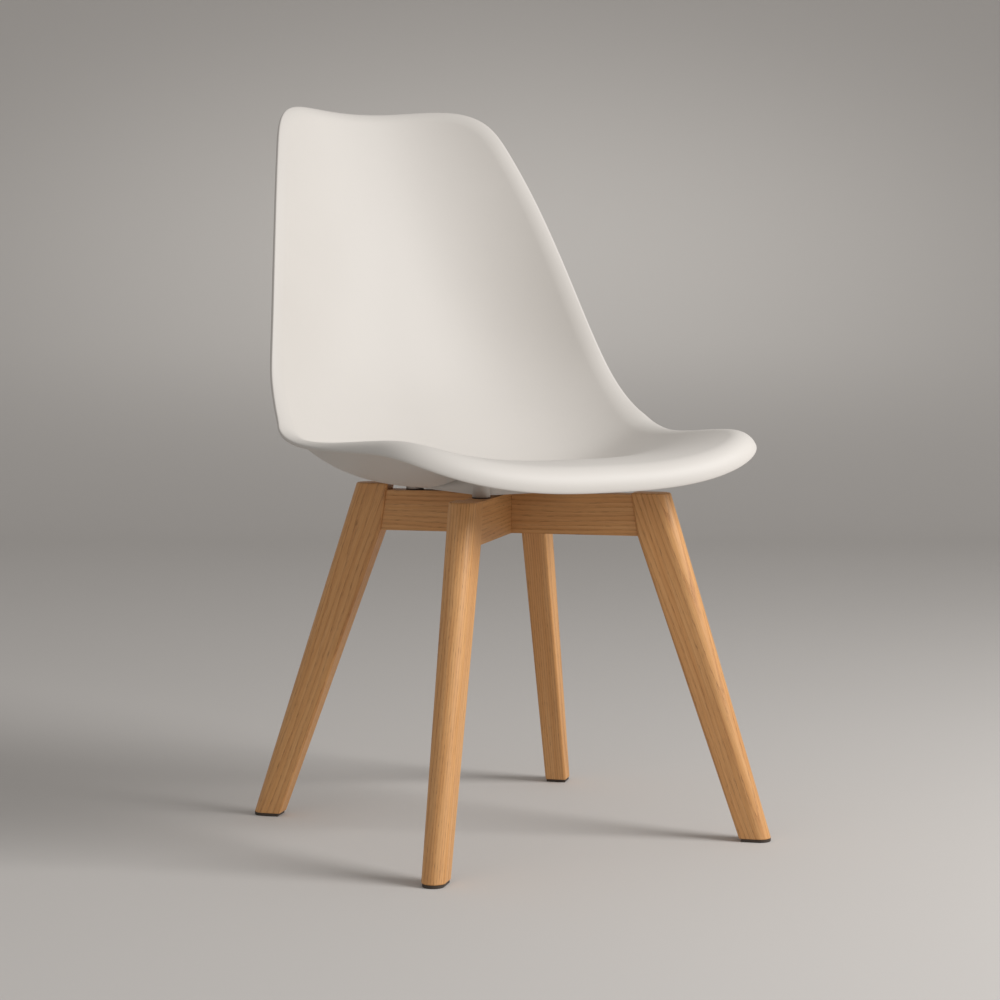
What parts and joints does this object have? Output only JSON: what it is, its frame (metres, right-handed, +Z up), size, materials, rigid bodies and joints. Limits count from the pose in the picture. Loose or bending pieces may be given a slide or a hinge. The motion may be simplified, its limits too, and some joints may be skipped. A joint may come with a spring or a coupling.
{
  "type": "moulded plastic shell chair",
  "caption": "Armless chair with a moulded one-piece plastic seat and back on splayed wooden legs joined by crossed rails.",
  "frame": {"origin": "on the floor, under the middle of the chair's outline", "axes": "+X to the sitter's left, -Y the way the sitter faces, +Z up"},
  "size_m": [0.496, 0.5601, 0.8315],
  "materials": {
    "shell_plastic": "satin",
    "oak_wood": "oiled",
    "beech_wood": "bare",
    "zinc_steel": "zinc plated",
    "insert_brass": "turned",
    "spacer_rubber": "matte",
    "glide_plastic": "matte"
  },
  "bodies": {
    "root": {"cross_rail_left": "oak_wood", "cross_rail_right": "oak_wood", "dowel_front_left_lower": "beech_wood", "dowel_front_left_upper": "beech_wood", "dowel_front_right_lower": "beech_wood", "dowel_front_right_upper": "beech_wood", "dowel_rear_left_lower": "beech_wood", "dowel_rear_left_upper": "beech_wood", "dowel_rear_right_lower": "beech_wood", "dowel_rear_right_upper": "beech_wood", "flat_washer_front_left": "zinc_steel", "flat_washer_front_right": "zinc_steel", "flat_washer_rear_left": "zinc_steel", "flat_washer_rear_right": "zinc_steel", "floor_glide_front_left": "glide_plastic", "floor_glide_front_right": "glide_plastic", "floor_glide_rear_left": "glide_plastic", "floor_glide_rear_right": "glide_plastic", "glide_nail_front_left": "zinc_steel", "glide_nail_front_right": "zinc_steel", "glide_nail_rear_left": "zinc_steel", "glide_nail_rear_right": "zinc_steel", "leg_front_left": "oak_wood", "leg_front_right": "oak_wood", "leg_rear_left": "oak_wood", "leg_rear_right": "oak_wood", "rubber_spacer_front_left": "spacer_rubber", "rubber_spacer_front_right": "spacer_rubber", "rubber_spacer_rear_left": "spacer_rubber", "rubber_spacer_rear_right": "spacer_rubber", "seat_bolt_front_left": "zinc_steel", "seat_bolt_front_right": "zinc_steel", "seat_bolt_rear_left": "zinc_steel", "seat_bolt_rear_right": "zinc_steel", "seat_shell": "shell_plastic", "spring_washer_front_left": "zinc_steel", "spring_washer_front_right": "zinc_steel", "spring_washer_rear_left": "zinc_steel", "spring_washer_rear_right": "zinc_steel", "threaded_insert_front_left": "insert_brass", "threaded_insert_front_right": "insert_brass", "threaded_insert_rear_left": "insert_brass", "threaded_insert_rear_right": "insert_brass"}
  },
  "joints": []
}
